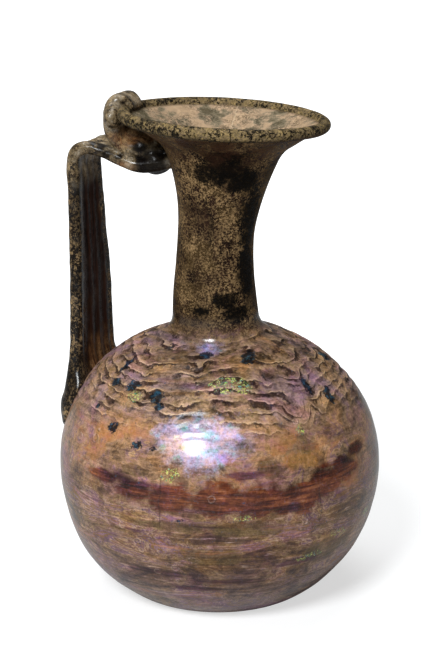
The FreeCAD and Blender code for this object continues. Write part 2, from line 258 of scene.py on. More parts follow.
# %% [markdown]
# ## The flaking skin
# On the shoulder the weathered skin has come off in thin torn layers, like a worn map in relief.
# A texture alone would leave the outline smooth, so the layers are worked out once for every
# point of the mesh. The same numbers lower the surface here and later draw the dark torn edges,
# partly painted shade, and their pale crests, partly a painted highlight.

# %% Number the layers of skin at every point
LAYER_PITCH = 1.8
STEP_DEPTH = 0.42
BELLY_TOP = 70
outer = radii > skin_radius(heights) - 0.5
on_belly = outer & (heights < BELLY_TOP)
rumpled = 0.6 * smooth_step(-0.2, 0.3, swell(spun, 0.045, seed=71))
rumpled += 1.2 * smooth_step(30, 0, np.abs(azimuths + 26))
folds = 3.4 * np.abs(swell(spun, 0.13, seed=19)) + 0.5 * np.abs(swell(spun, 0.31, seed=11))
waves = 2.2 * swell(spun, 0.05, (1, 1, 0.6), 3) + rumpled * folds
crinkle = 0.28 * swell(spun, 0.55, seed=29)
torn = smooth_step(47, 55, heights + 5 * swell(spun, 0.06, seed=31)) * (1 - smooth_step(66.5, 69.5, heights))
layers = (heights + waves + crinkle) / LAYER_PITCH
drop = smooth_step(0.35, 0.95, layers - np.floor(layers))
cover = smooth_step(-0.30, 0.15, swell(spun, 0.09, seed=43))
relief = -STEP_DEPTH * drop * torn * (0.45 + 0.55 * cover)
threads = 0.05 * swell(spun, 0.5, (0.12, 0.12, 1.0), 57) * on_belly * (1 - torn)
blown += normals * (np.where(outer, relief, 0) + threads)[:, None]
put_points(vessel_mesh, drift(tip(lean(blown))))
print("torn skin on", round(100 * float(torn[on_belly].mean())), "percent of the belly")


# %% Paint patches by azimuth and height
def patches(places, ragged, seed):
    """A mask of soft patches, each given as azimuth, height, half width and half height in mm."""
    noise_field = swell(spun, 0.35, seed=seed + 5) + 0.6 * swell(spun, 0.9, seed=seed + 9)
    mask = np.zeros(len(spun))
    for azimuth, height, across, tall in places:
        aside = np.radians((azimuths - azimuth + 180) % 360 - 180) * radii
        away = np.sqrt((aside / across) ** 2 + ((heights - height) / tall) ** 2)
        mask = np.maximum(mask, 1 - smooth_step(0.4, 1.3, away + ragged * noise_field))
    return np.where(outer, mask, 0)


def keep_mask(mesh, name, values):
    """Stores one number for each vertex under a name that the materials read."""
    numbers = mesh.attributes.new(name, "FLOAT", "POINT").data
    numbers.foreach_set("value", np.asarray(values, dtype=float))
    print(f"{name}: mean {np.mean(values):.3f}")


# %% Patches that the long burial left, and a painted highlight glow: azimuth, height, half width and half height
SOOT = [
    (-78, 65.3, 2, 0.8), (-46, 64.4, 2.2, 0.9), (-41, 65.2, 1.4, 0.7), (-131, 60.8, 1, 2.4),
    (-126, 57.6, 2, 1), (-115, 58.1, 2.4, 1.2), (-99, 57.1, 2, 1.3), (-95, 55.4, 1.4, 0.9),
    (-114, 49.4, 1.7, 1.1), (-101, 47.2, 1.6, 0.9), (-94, 46.9, 1, 0.6), (-128, 52.3, 1, 0.5),
    (-12, 55, 1.6, 2.2), (-83, 31, 0.8, 0.6), (-22, 58, 1, 1.6), (20, 60, 2.4, 1.2), (62, 52, 2.6, 1.6),
    (95, 60, 2.2, 1.6), (120, 48, 2.6, 1.4), (150, 57, 2.4, 1.2), (-160, 40, 1.6, 1.2), (40, 36, 1.6, 1),
]
GLITTER = [
    (-65, 59.9, 5.5, 1.4), (-87, 41.6, 2.4, 1.6), (-61, 32, 4, 0.6), (-36, 50.1, 1.4, 1.6),
    (-22, 23.7, 4, 1.2), (-34, 19.4, 4, 0.8), (-5, 25.4, 3, 1.4), (-110, 56.5, 2, 1), (70, 44, 5, 1.5),
    (140, 55, 4, 1.5), (100, 24, 6, 1.2),
]
GOLD = [
    (-104, 50.6, 7, 3.4), (-118, 48, 4, 2), (-47, 49.5, 6, 3.4), (-38, 44, 5, 2.4), (-16, 38.3, 5, 4),
    (-120, 44, 4, 3), (-72, 35.6, 9, 1.2), (-58, 64, 5, 1.4), (55, 47, 9, 4), (110, 40, 8, 4),
    (170, 48, 7, 4),
]
MAROON = [
    (-113, 38.5, 5, 1.6), (-100, 37, 6, 2.8), (-86, 36.4, 7, 3.6), (-70, 36.2, 8, 4.2), (-55, 35.6, 8, 4.4),
    (-42, 36, 7, 4.2), (-30, 38, 6, 3.8), (-20, 39.8, 5, 3.4), (-11, 42.5, 4, 1.8), (-48, 33.4, 3, 1.6),
    (20, 38, 12, 2.8), (60, 35, 12, 3), (110, 34, 14, 2.6), (160, 37, 12, 3),
]
PLUM = [
    (-91, 16, 10, 1.6), (-64, 14.5, 12, 1.4), (-40, 18.5, 9, 1.4), (-78, 12, 9, 1), (-100, 27, 4, 0.7),
    (-106, 39.4, 6, 1.9), (-97, 38.6, 3, 1.2), (-44, 33.6, 2.6, 1.6), (-19, 41.5, 3, 1.2), (-60, 42, 5, 1),
    (80, 36, 7, 1.8), (150, 40, 6, 1.6),
]
OLIVE = [
    (-72, 21.9, 9, 2.6), (-60, 29, 9, 2.2), (-40, 46, 4, 3.4), (-52, 43, 3, 2.4), (-84, 29.5, 9, 1.6),
    (-60, 48, 3, 2), (-100, 41.5, 5, 1.6), (-28, 20, 9, 3), (-62, 55, 8, 1.4), (60, 24, 12, 4),
    (130, 23, 12, 4), (20, 47, 7, 4),
]
# Painted highlight: a pale glow round the main gleam, round the gleam at the neck's root, and one on the
# back.
PAINTED_GLEAM = [(-76, 48.5, 11, 6), (-88, 50.5, 5, 3), (-77, 66.8, 3.4, 1.5), (60, 50, 5, 2.4)]
BLACK = [
    (-69, 107.8, 8, 4.6), (-88, 106.5, 4, 2.4), (-48, 106, 5, 3.6), (-64, 111.8, 6, 1.8),
    (-19, 96, 3.4, 10), (-17, 83, 3.4, 9), (-54, 76, 4, 2.4), (-40, 73, 4.4, 2.4),
    (-90, 73.5, 3, 1.4), (110, 106, 7, 5), (165, 98, 4, 5), (60, 80, 5, 5),
]
for name, places, ragged, seed in (
    ("soot", SOOT, 0.55, 1), ("glitter", GLITTER, 0.6, 2), ("gold", GOLD, 0.5, 3),
    ("maroon", MAROON, 0.30, 4), ("plum", PLUM, 0.35, 5), ("olive", OLIVE, 0.4, 6),
    ("painted_gleam", PAINTED_GLEAM, 0.3, 7), ("black", BLACK, 0.35, 8),
):
    keep_mask(vessel_mesh, name, patches(places, ragged, seed))

# %% Keep the layers, the mouth's inside and the painted shade in the crease under the rolled rim
CREASE_RADIUS, CREASE_HEIGHT, CREASE_WIDTH = 24.3, 116.55, 0.75
keep_mask(vessel_mesh, "layers", layers)
keep_mask(vessel_mesh, "torn", torn)
keep_mask(vessel_mesh, "mouth_inside", (~outer) & (heights > 100))
from_crease = np.hypot(radii - CREASE_RADIUS, heights - CREASE_HEIGHT)
painted_crease_shade = np.exp(-(from_crease / CREASE_WIDTH) ** 2)
keep_mask(vessel_mesh, "painted_crease_shade", np.where(heights < RIM_HEIGHT, painted_crease_shade, 0))

# %% [markdown]
# ## The drawn strap
# The strap was pulled from a gob of hot glass pressed on the shoulder, ribbed by a grooved tool,
# and bent in to the neck. Its end was folded back and looped over the rim while soft. One ring of
# points takes the ribbed section, and is extruded from station to station along the strap.


# %% The ribbed section of the strap
RING = 72
RIBS = 4


def ribbed_ring(width, rib, grooves):
    """Points across and through the strap, in millimetres, once round its section."""
    half = width / 2
    turns = np.arange(RING) * math.tau / RING
    across = half * np.cos(turns)
    past_flat = np.clip(np.abs(across) - half + rib / 2, 0, None)
    edge = np.sqrt(np.clip((rib / 2) ** 2 - past_flat**2, 0, None))
    inside = np.clip(1 - (np.abs(across) - half + rib) / (0.4 * rib), 0, 1)
    dip = (0.30 + 0.14 * np.cos(across / (half - rib / 2) * math.pi * RIBS)) * grooves
    through = edge * (1 - dip * smooth_step(0, 1, inside)) * np.sign(np.sin(turns))
    return across, through


# %% Stations along the strap: x, z, turn from straight up, width, rib and how deep the ribs are
RIM_REACH = 25.7
NECK_TO_RIM = 26.7
BEND_OUT, BEND_UP = 0.0685, 2.617
CORNER_REACH, CORNER_HEIGHT, CORNER_RADIUS = 35.1, 106.8, 3.4
TOWARD_FRONT = 1.9


def beside_mouth(out, up, turn, width, rib, grooves, inward=NECK_RADIUS):
    """A station given from the neck's or the rim's edge along the leaning axis of the mouth."""
    outward, rise = inward + out, NECK_TO_RIM + up
    x = BEND_OUT - outward * math.cos(LEAN) + rise * math.sin(LEAN)
    z = WAIST + BEND_UP + outward * math.sin(LEAN) + rise * math.cos(LEAN)
    return (x, z, turn + LEAN_DEGREES, width, rib, grooves)


def corner(turn, width):
    """A station on the bend at the top of the riser."""
    angle = math.radians(turn)
    x = -(CORNER_REACH - CORNER_RADIUS * (1 - math.cos(angle)))
    return (x, CORNER_HEIGHT + CORNER_RADIUS * math.sin(angle), turn, width, 3.3, 0.9)


RISER = [
    (-35.2, 44.2, 0, 20, 4.6, 0.3), (-35.2, 46.5, 0, 23.5, 5.4, 0.4), (-34.4, 51, 0, 24.2, 4.8, 0.7),
    (-34, 57, 0, 22.6, 3.8, 1), (-33.9, 66, 0, 21.4, 3.3, 1), (-34, 77, 0, 20.2, 3.2, 1),
    (-34.6, 91, 0, 17.4, 3.2, 1), (-35, 101, 0, 16.4, 3.2, 0.9),
    corner(0, 16.2), corner(30, 16.2), corner(60, 16), corner(91, 15.6),
]
RISER += [beside_mouth(*station) for station in (
    (19.4, -10.4, 93, 14.6, 3, 0.8), (15.2, -11.8, 107, 12.8, 3, 0.8), (11.2, -13, 94, 11.6, 3.2, 0.6),
    (7.2, -12.6, 76, 10.4, 3.4, 0.5), (3.4, -11.6, 70, 9.4, 3.4, 0.4), (0.6, -10.8, 67, 8.6, 3, 0.3),
)]
LOOP = [beside_mouth(*station) for station in (
    (1, -10.6, -76, 8, 3, 0.2), (5, -9.9, -78, 8.6, 3.4, 0.3), (10.2, -9.4, -76, 9.6, 3.6, 0.3),
)]
LOOP += [beside_mouth(*station, RIM_REACH) for station in (
    (-0.7, -7.8, -58, 10.4, 4.2, 0.3), (0.7, -5.4, -24, 11.2, 4.8, 0.1), (1.2, -2.6, -4, 11.6, 4.8, 0.1),
    (1.2, -0.4, 8, 11.6, 4.6, 0.1), (0.9, 1.1, 30, 11.4, 4.2, 0.1), (0.1, 2.1, 62, 11.2, 3.6, 0.1),
    (-1.2, 2.2, 96, 10.8, 3.2, 0.1), (-2.4, 1.3, 124, 10.2, 2.8, 0.3), (-3.2, 0.1, 146, 9.4, 2.4, 0.2),
)]


# %% Extrude the section from station to station
STATION_PITCH = 0.55
FIRST_RING, LAST_RING = 0.8, 0.85


def eased(stations):
    """A smooth run of stations through the given ones, evenly spaced."""
    keys = np.array(stations, dtype=float)
    runs = np.concatenate(([0], np.cumsum(np.linalg.norm(np.diff(keys[:, :2], axis=0), axis=1))))
    slopes = np.gradient(keys, runs, axis=0)
    places = np.linspace(0, runs[-1], max(2, round(runs[-1] / STATION_PITCH)))
    index = np.clip(np.searchsorted(runs, places, side="right") - 1, 0, len(runs) - 2)
    gap = (runs[index + 1] - runs[index])[:, None]
    share = ((places - runs[index]) / gap[:, 0])[:, None]
    leave, reach = slopes[index] * gap, slopes[index + 1] * gap
    return (
        (2 * share**3 - 3 * share**2 + 1) * keys[index] + (share**3 - 2 * share**2 + share) * leave
        + (3 * share**2 - 2 * share**3) * keys[index + 1] + (share**3 - share**2) * reach
    )


def lay_ring(ring, station, shrink, toward_front):
    """Moves a ring of vertices to a station. A loop is shifted to the front and follows the rim."""
    x, z, turn, width, rib, grooves = station
    across, through = ribbed_ring(width * shrink, rib * shrink, grooves)
    angle = math.radians(turn)
    for vert, side, depth in zip(ring, across - toward_front, through):
        out = depth * math.cos(angle) - x
        if toward_front:
            out, side = out * math.cos(side / RIM_REACH), out * math.sin(side / RIM_REACH)
        vert.co = (-out, side, z + depth * math.sin(angle))


def draw_strap(strap, stations, toward_front=0.0):
    """Extrudes one ring through all stations, and closes both ends."""
    run = eased(stations)
    ring = bmesh.ops.create_circle(strap, segments=RING, radius=1.0, cap_ends=False)["verts"]
    edges = [edge for edge in strap.edges if edge.verts[0] in ring]
    lay_ring(ring, run[0], FIRST_RING, toward_front)
    bmesh.ops.contextual_create(strap, geom=edges)
    for index, station in enumerate(run):
        grown = bmesh.ops.extrude_edge_only(strap, edges=edges)["geom"]
        fresh = {part for part in grown if isinstance(part, bmesh.types.BMVert)}
        edges = [part for part in grown if isinstance(part, bmesh.types.BMEdge)]
        edges = [part for part in edges if fresh.issuperset(part.verts)]
        ring = [next(near for near in (e.other_vert(v) for e in v.link_edges) if near in fresh) for v in ring]
        lay_ring(ring, station, LAST_RING if index == len(run) - 1 else 1.0, toward_front)
    bmesh.ops.contextual_create(strap, geom=edges)
    return run


handle_form = bmesh.new()
riser_run = draw_strap(handle_form, RISER)
loop_run = draw_strap(handle_form, LOOP, TOWARD_FRONT)
bmesh.ops.recalc_face_normals(handle_form, faces=handle_form.faces)
print("strap:", len(riser_run), "and", len(loop_run), "rings")

# %% [markdown]
# ## Melted together
# Soft glass leaves no seam: where the strap was pressed down, it spread, and the fold sank into
# the bar below it. A voxel remesh fuses all the overlapping parts into one skin, and a few rounds
# of smoothing round off the creases as heat does.

# %% Lumps where the hot strap was pressed down
# Centre and half sizes in millimetres. The first two are the pressed end low on the shoulder, the
# next four fill between the neck, the lip and the loop, and the last two lie where the loop ends.
LUMPS = [
    ((-35.3, -9.6, 46.5), (2.7, 2.7, 4.2)), ((-34.6, 9.4, 48), (2.6, 2.8, 4)),
    ((-15.6, -0.8, 107.4), (4.2, 4, 3.4)), ((-19, -0.8, 110.6), (4.6, 4, 3.4)),
    ((-22.8, -0.6, 113), (3.2, 4, 3)), ((-24.8, -0.4, 115.6), (2, 3.8, 2.4)),
    ((-23.4, -8.2, 118.2), (2.1, 3.4, 2.8)), ((-24.4, -6, 118.6), (2.2, 4, 3.2)),
]
for centre, half_sizes in LUMPS:
    bmesh.ops.create_icosphere(
        handle_form, subdivisions=4, radius=1.0,
        matrix=Matrix.LocRotScale(Vector(centre), None, Vector(half_sizes)),
    )
bmesh.ops.scale(handle_form, vec=(MM, MM, MM), verts=handle_form.verts)
rough_mesh = bpy.data.meshes.new("strap_rough")
handle_form.to_mesh(rough_mesh)
handle_form.free()
rough = stand("strap_rough", rough_mesh)

# %% Fuse and smooth
VOXEL = 0.32
fuse = rough.modifiers.new("fuse", "REMESH")
fuse.mode = "VOXEL"
fuse.voxel_size = VOXEL * MM
fuse.use_smooth_shade = True
soften = rough.modifiers.new("soften", "SMOOTH")
soften.factor = 0.5
soften.iterations = 3
bpy.context.view_layer.update()
finished = rough.evaluated_get(bpy.context.evaluated_depsgraph_get())
strap_mesh = bpy.data.meshes.new_from_object(finished)
strap_mesh.name = "looped_strap"
bpy.data.objects.remove(rough)
bpy.data.meshes.remove(rough_mesh)
print("fused strap:", len(strap_mesh.polygons), "faces")

# %% Let the strap's foot spread on the shoulder, and give the glass its unevenness
SPREAD, SPREAD_REACH, SPREAD_TOP = 2.2, 4.5, 66
strap_points = read_mesh(strap_mesh) / MM
strap_normals = read_mesh(strap_mesh, "normal")
radius_here = np.hypot(strap_points[:, 0], strap_points[:, 1])
skin_here = skin_radius(strap_points[:, 2])
slope_here = 2 * (skin_radius(strap_points[:, 2] + 0.5) - skin_here)
skin_normal = np.column_stack((strap_points[:, :2] / radius_here[:, None], -slope_here))
skin_normal /= np.linalg.norm(skin_normal, axis=1)[:, None]
clear = np.clip((radius_here - skin_here) * np.hypot(skin_normal[:, 0], skin_normal[:, 1]), 0, None)
along_skin = strap_normals - skin_normal * (strap_normals * skin_normal).sum(axis=1)[:, None]
spread = SPREAD * np.clip(1 - clear / SPREAD_REACH, 0, 1) ** 2 * (strap_points[:, 2] < SPREAD_TOP)
strap_points += along_skin * spread[:, None]
uneven = 0.16 * swell(strap_points, 0.18, seed=71) + 0.07 * swell(strap_points, 0.6, seed=83)
strap_points += strap_normals * uneven[:, None]
put_points(strap_mesh, tip(strap_points))
print("foot spreads by up to", round(float(spread.max()), 1), "mm")


# %% Measure every point of the strap against its run
LOOP_STARTS = 200


def nearest_station(points, run):
    """For each point, the index of the nearest station and how far off it is."""
    best = np.full(len(points), np.inf)
    index = np.zeros(len(points), dtype=int)
    for number, station in enumerate(run):
        off = np.hypot(points[:, 0] - station[0], points[:, 2] - station[1])
        index[off < best] = number
        best = np.minimum(best, off)
    return index, best


riser_index, riser_off = nearest_station(strap_points, riser_run)
loop_index, loop_off = nearest_station(strap_points, loop_run)
on_loop = loop_off < riser_off
half_width = np.where(on_loop, loop_run[loop_index, 3], riser_run[riser_index, 3]) / 2
rib_here = np.where(on_loop, loop_run[loop_index, 4], riser_run[riser_index, 4])
aside = np.abs(strap_points[:, 1] + np.where(on_loop, TOWARD_FRONT, 0))
aside += 0.5 * swell(strap_points, 0.4, seed=97)
at_edge = smooth_step(-0.35, 0.1, (aside - half_width + rib_here * 0.95) / rib_here)
on_bar = smooth_step(99.0, 107.0, strap_points[:, 2])
run_along = np.where(on_loop, LOOP_STARTS + loop_index * STATION_PITCH, riser_index * STATION_PITCH)
keep_mask(strap_mesh, "at_edge", at_edge)
keep_mask(strap_mesh, "on_loop", np.maximum(on_loop, on_bar))


def blobs(points, places):
    """A mask of soft blobs, each given as a centre and half sizes in millimetres."""
    mask = np.zeros(len(points))
    rough_edge = 0.3 * swell(points, 0.5, seed=91)
    for centre, half_sizes in places:
        away = np.linalg.norm((points - np.array(centre)) / np.array(half_sizes), axis=1)
        mask = np.maximum(mask, 1 - smooth_step(0.55, 1.15, away + rough_edge))
    return mask


# %% Dark and warm places of the strap, some of the dark ones painted shade: centre and half sizes
DARK_GLASS_AND_SHADE = [
    ((-36.5, -9, 48.5), (3, 3.4, 6)), ((-15, -3.5, 106.8), (5.4, 5.4, 5)),
    ((-18.5, -4, 110.6), (2.6, 3, 1.6)), ((-27.6, -5, 112), (1.6, 4.5, 4.4)),
    # Painted shade: the pit by the loop's end, the line under the bar and the slot under the loop.
    ((-26.4, -5, 109), (2.4, 3.4, 1.4)), ((-21.6, -7, 121.6), (0.8, 1.2, 0.8)),
    ((-26, 0, 107.5), (3.4, 9, 0.9)), ((-23.4, -4.5, 108.4), (1.7, 3, 0.8)),
]
WARM_GLASS = [
    ((-22, -5, 113.2), (4.6, 4.4, 3)), ((-24, -2, 106), (6, 7, 1.8)),
    ((-17, -3.6, 113), (3, 3, 1.4)), ((-32, 2, 56), (5.4, 9, 8)),
]
keep_mask(strap_mesh, "dark_glass_and_shade", blobs(strap_points, DARK_GLASS_AND_SHADE))
keep_mask(strap_mesh, "warm_place", blobs(strap_points, WARM_GLASS))
strap_place = np.column_stack((strap_points[:, 1], run_along, strap_points[:, 0] * 0.3))
place_values = strap_mesh.attributes.new("strap_place", "FLOAT_VECTOR", "POINT").data
place_values.foreach_set("vector", strap_place.ravel())


# %% Put both pieces in the scene
def place_piece(mesh, name, node):
    """Puts a mesh in the scene on the jug's body, in place of a measured solid."""
    piece = stand(name, mesh)
    mesh.shade_smooth()
    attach(piece, "root")
    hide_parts(node)
    print(name, "has", sum(len(face.vertices) - 2 for face in mesh.polygons), "triangles")
    return piece


vessel = place_piece(vessel_mesh, "weathered_vessel", "blown_vessel")
handle = place_piece(strap_mesh, "looped_strap", "strap_handle")

# %% [markdown]
# ## Weaving materials from nodes
# All finishes here are worked out by shader nodes, so they stay sharp at any distance. A few
# short helpers keep the cells readable: one adds a node to the tree on the loom, and the others
# are the sums, mixes and ramps that come up again and again.


# %% Helpers that add and join nodes
class Loom:
    """Holds the node tree that is being woven, so that no helper has to be told."""

    tree = None


def feed(node, inputs):
    """Joins each input of a node to a socket, or sets it to a plain value."""
    for key, value in inputs.items():
        if isinstance(value, bpy.types.NodeSocket):
            Loom.tree.links.new(value, node.inputs[key])
        else:
            node.inputs[key].default_value = value


def add(kind, inputs=None, output=0, **settings):
    """Adds a shader node, sets or joins its inputs, and returns one of its outputs."""
    node = Loom.tree.nodes.new("ShaderNode" + kind)
    for key, value in settings.items():
        setattr(node, key, value)
    feed(node, inputs or {})
    return node.outputs[output]


def tint(code):
    """A colour written as six hex digits, as linear light."""
    parts = [int(code[i:i + 2], 16) / 255 for i in (0, 2, 4)]
    return (*[p / 12.92 if p < 0.04045 else ((p + 0.055) / 1.055) ** 2.4 for p in parts], 1.0)


def sum_of(kind, *values):
    """One step of arithmetic on sockets and plain numbers."""
    return add("Math", dict(enumerate(values)), operation=kind)


def times(*values):
    """The product of all the values."""
    product = values[0]
    for value in values[1:]:
        product = sum_of("MULTIPLY", product, value)
    return product


def plus(total, *more):
    """A value, and then other values, each followed by the share of it that is added."""
    for value, share in zip(more[::2], more[1::2]):
        total = sum_of("ADD", total, times(value, share))
    return total


def minus(first, second):
    """The first value less the second."""
    return sum_of("SUBTRACT", first, second)


def rest_of(value):
    """What is left of one."""
    return minus(1.0, value)


def mix(share, first, second, blend="MIX"):
    """Mixes two colours. Each is a socket, a plain colour or a colour code."""
    first, second = (tint(colour) if isinstance(colour, str) else colour for colour in (first, second))
    return add("Mix", {0: share, 6: first, 7: second}, 2, data_type="RGBA", blend_type=blend)


def over(mask, share, base, colour):
    """Lays a colour over a base, where a mask says and by a share."""
    return mix(times(mask, share), base, colour)


def gate(value, low, high):
    """0 below low, 1 above high, and smooth between."""
    return add(
        "MapRange", {"Value": value, "From Min": low, "From Max": high},
        interpolation_type="SMOOTHSTEP",
    )


def rescale(value, low, high, first, last):
    """Carries a value from one range over to another."""
    span = {"Value": value, "From Min": low, "From Max": high, "To Min": first, "To Max": last}
    return add("MapRange", span)


def ramp(value, stops, kind="LINEAR"):
    """Colours along a value, with a colour code for each place from 0 to 1."""
    node = Loom.tree.nodes.new("ShaderNodeValToRGB")
    band = node.color_ramp
    band.interpolation = kind
    while len(band.elements) < len(stops):
        band.elements.new(1.0)
    for element, (place, code) in zip(band.elements, stops.items()):
        element.position = place
        element.color = tint(code)
    Loom.tree.links.new(value, node.inputs[0])
    return node.outputs[0]


def cloud(vector, scale, detail, rough=0.6, distortion=0.0):
    """Cloudy noise around a half, with its scale in features for each millimetre."""
    return add("TexNoise", {
        "Vector": vector, "Scale": scale, "Detail": detail, "Roughness": rough, "Distortion": distortion,
    })


def stretched(vector, scale, turn=(0, 0, 0)):
    """Turned and scaled coordinates. A small scale draws a pattern out that way."""
    return add("Mapping", {"Vector": vector, "Scale": scale, "Rotation": turn})


def mask_of(name):
    """A painted mask, read from the mesh."""
    return add("Attribute", output=2, attribute_name=name)


def new_group(name, inputs, outputs):
    """Starts a group with one vector and plain numbers. Returns its tree, way in and way out."""
    tree = Loom.tree = bpy.data.node_groups.new(name, "ShaderNodeTree")
    for way, labels in (("INPUT", inputs), ("OUTPUT", outputs)):
        for label in labels:
            kind = "NodeSocketVector" if label == "Vector" else "NodeSocketFloat"
            tree.interface.new_socket(label, in_out=way, socket_type=kind)
    return tree, tree.nodes.new("NodeGroupInput").outputs, tree.nodes.new("NodeGroupOutput").inputs


def use_group(group, *values):
    """Adds a group, with its values in the order of its inputs, and returns its outputs."""
    node = Loom.tree.nodes.new("ShaderNodeGroup")
    node.node_tree = group
    feed(node, dict(enumerate(values)))
    return node.outputs


# %% [markdown]
# ## Effects that both glasses share
# Sand grains sit in the dull skin of neck, rim and strap. Drawn streaks run the way the glass was
# pulled. Each is a group: its values say how fine it is, and how much it covers or how sharp it is.

# %% Sand grains
sand, grain_in, grain_out = new_group("sand_grains", ("Vector", "Per mm", "Cover"), ("Mask", "Tone"))
grain, per_mm = grain_in["Vector"], grain_in["Per mm"]
fine = cloud(grain, per_mm, 4.0, 0.85)
coarse = cloud(grain, times(per_mm, 0.22), 3.0, 0.6)
both = plus(times(fine, 0.72), coarse, 0.28)
edge = minus(0.62, times(grain_in["Cover"], 0.24))
tone = add("TexVoronoi", {"Vector": grain, "Scale": times(per_mm, 1.6)}, 1)
sand.links.new(gate(minus(both, edge), -0.02, 0.035), grain_out["Mask"])
sand.links.new(tone, grain_out["Tone"])
print("group:", sand.name)

# %% Drawn streaks
names = ("Vector", "Per mm", "Sharp"), ("Mask", "Height")
streaks, streak_in, streak_out = new_group("drawn_streaks", *names)
run, per_mm = streak_in["Vector"], streak_in["Per mm"]
wide = cloud(run, per_mm, 2.0, 0.5, 0.4)
thin = cloud(run, times(per_mm, 3.1), 3.0, 0.65, 0.2)
laid = plus(times(wide, 0.6), thin, 0.4)
soft = minus(0.16, times(streak_in["Sharp"], 0.13))
low, high = minus(0.5, soft), sum_of("ADD", 0.5, soft)
streaks.links.new(gate(laid, low, high), streak_out["Mask"])
streaks.links.new(laid, streak_out["Height"])
print("group:", streaks.name)


# %% Start a material with its shader, and the ways to give it relief and cracks
def new_material(name):
    """Starts a material. Returns it, its shader and places in millimetres."""
    material = bpy.data.materials.new(name)
    material.use_nodes = True
    tree = Loom.tree = material.node_tree
    tree.nodes.clear()
    shader = tree.nodes.new("ShaderNodeBsdfPrincipled")
    out = tree.nodes.new("ShaderNodeOutputMaterial")
    tree.links.new(shader.outputs[0], out.inputs[0])
    place = add("TexCoord", output=3)
    in_mm = add("Mapping", {"Vector": place, "Scale": (1000, 1000, 1000)})
    return material, shader, in_mm


def bumps(*layers):
    """Stacks reliefs, each a height and its depth in millimetres, into one normal."""
    under = {}
    for height, depth in layers:
        under["Normal"] = add("Bump", {"Height": height, "Distance": depth * MM, **under})
    return under["Normal"]


def crack(vector, azimuth, low, high, wander):
    """A fine upright crack: a plane through the axis on one side, between two heights."""
    angle = math.radians(azimuth)
    aside, ahead, up = (
        add("VectorMath", {0: vector, 1: way}, 1, operation="DOT_PRODUCT") for way in (
            (math.sin(angle), -math.cos(angle), 0), (math.cos(angle), math.sin(angle), 0), (0, 0, 1)
        )
    )
    off = sum_of("ABSOLUTE", plus(aside, minus(wander, 0.5), 2.4))
    line = rest_of(gate(off, 0.06, 0.20))
    above = gate(up, low - 0.5, low + 0.5)
    below = rest_of(gate(up, high - 0.5, high + 0.5))
    return times(line, times(above, below), gate(ahead, 2.0, 4.0))


# %% [markdown]
# ## The weathered skin of the vessel
# The belly was dull pink and brown glass, thrown into fine level streaks by the blowing. Burial
# added colour films, torn layers, burst bubbles and blue-black stains. The streaks are noise that
# is squeezed in height, the films follow the height too, and the painted masks say where the
# stains, the rusty band and the torn layers lie.

# %% Ground colours of the belly
# Heights in millimetres over which one finish gives way to the next.
BROWN_TO_PINK, BUBBLES_FROM, BUBBLES_TO = (42, 52), (6, 12), (50, 58)
COAT_DULLS, NECK_BEGINS, COAT_ENDS = (66.5, 64.5), (68, 73.5), (70, 72.5)
NECK_REDDENS, RIM_BEGINS = (107, 114), (116.6, 117.6)
LEVEL_TILT = (0.03, -0.02, 0)
COAT_IOR = 1.4
belly_material, shader, mm = new_material("weathered_glass")
torn_here, inside_mouth = mask_of("torn"), mask_of("mouth_inside")
height = add("SeparateXYZ", {0: mm}, 2)
ragged = cloud(mm, 0.55, 4.0, 0.7)
fray = cloud(mm, 1.2, 5.0, 0.75)
level = stretched(mm, (0.05, 0.05, 1.0), LEVEL_TILT)
streak = use_group(streaks, level, 0.42, 0.3)
hair = use_group(streaks, level, 1.5, 0.7)
drifting = cloud(stretched(mm, (1, 1, 1.6)), 0.065, 6.0, 0.62, 0.8)
mottle = cloud(mm, 0.22, 5.0, 0.68, 0.5)
zone = times(plus(height, minus(drifting, 0.5), 26.0), 1 / BELLY_TOP)
body = ramp(zone, {
    0.0: "D8CCC8", 0.10: "BAAAA8", 0.18: "947C7C", 0.27: "866C62", 0.34: "6A4E38",
    0.42: "826A50", 0.50: "7A5A42", 0.58: "8A6C56", 0.68: "9A7A5C", 0.80: "86704E",
    0.95: "785E40",
})
low_zone = rest_of(gate(plus(height, mottle, 20.0), *BROWN_TO_PINK))
skin = cloud(stretched(mm, (1, 1, 1.3)), 0.13, 7.0, 0.66, 0.9)
upper_skin = ramp(skin, {
    0.0: "4E3C2C", 0.40: "7A6044", 0.445: "A88866", 0.485: "8C6E54", 0.515: "A07C70",
    0.55: "7C6070", 0.59: "B4946E", 0.64: "6E5C3C",
}, "CONSTANT")
film = cloud(stretched(mm, (0.30, 0.30, 1.0), LEVEL_TILT), 0.18, 7.0, 0.66, 0.8)
lower_skin = ramp(film, {
    0.0: "4A3226", 0.40: "725430", 0.45: "A08458", 0.48: "725044", 0.505: "B09478",
    0.53: "6E5468", 0.56: "86682E", 0.59: "907A88", 0.63: "C4AA98",
}, "CONSTANT")
body = mix(plus(0.62, low_zone, 0.04), body, mix(low_zone, upper_skin, lower_skin))
body = over(streak["Mask"], plus(0.12, low_zone, 0.22), body, "46302A")
pale_streak = times(gate(hair["Height"], 0.56, 0.61), gate(mottle, 0.44, 0.58))
body = over(pale_streak, plus(0.15, low_zone, 0.40), body, "B8A290")
print("belly: level streaks over a slow drift of colour")

# %% Patches of olive, gold and rust, and a painted highlight glow
olive = gate(plus(mask_of("olive"), ragged, 0.5), 0.50, 0.80)
body = over(olive, 0.70, body, mix(streak["Mask"], "6E5C36", "4E3A22"))
gold = gate(plus(mask_of("gold"), ragged, 1.0, fray, 0.5), 0.80, 1.55)
body = over(gold, 0.55, body, mix(gate(mottle, 0.42, 0.6), "B0823E", "98622E"))
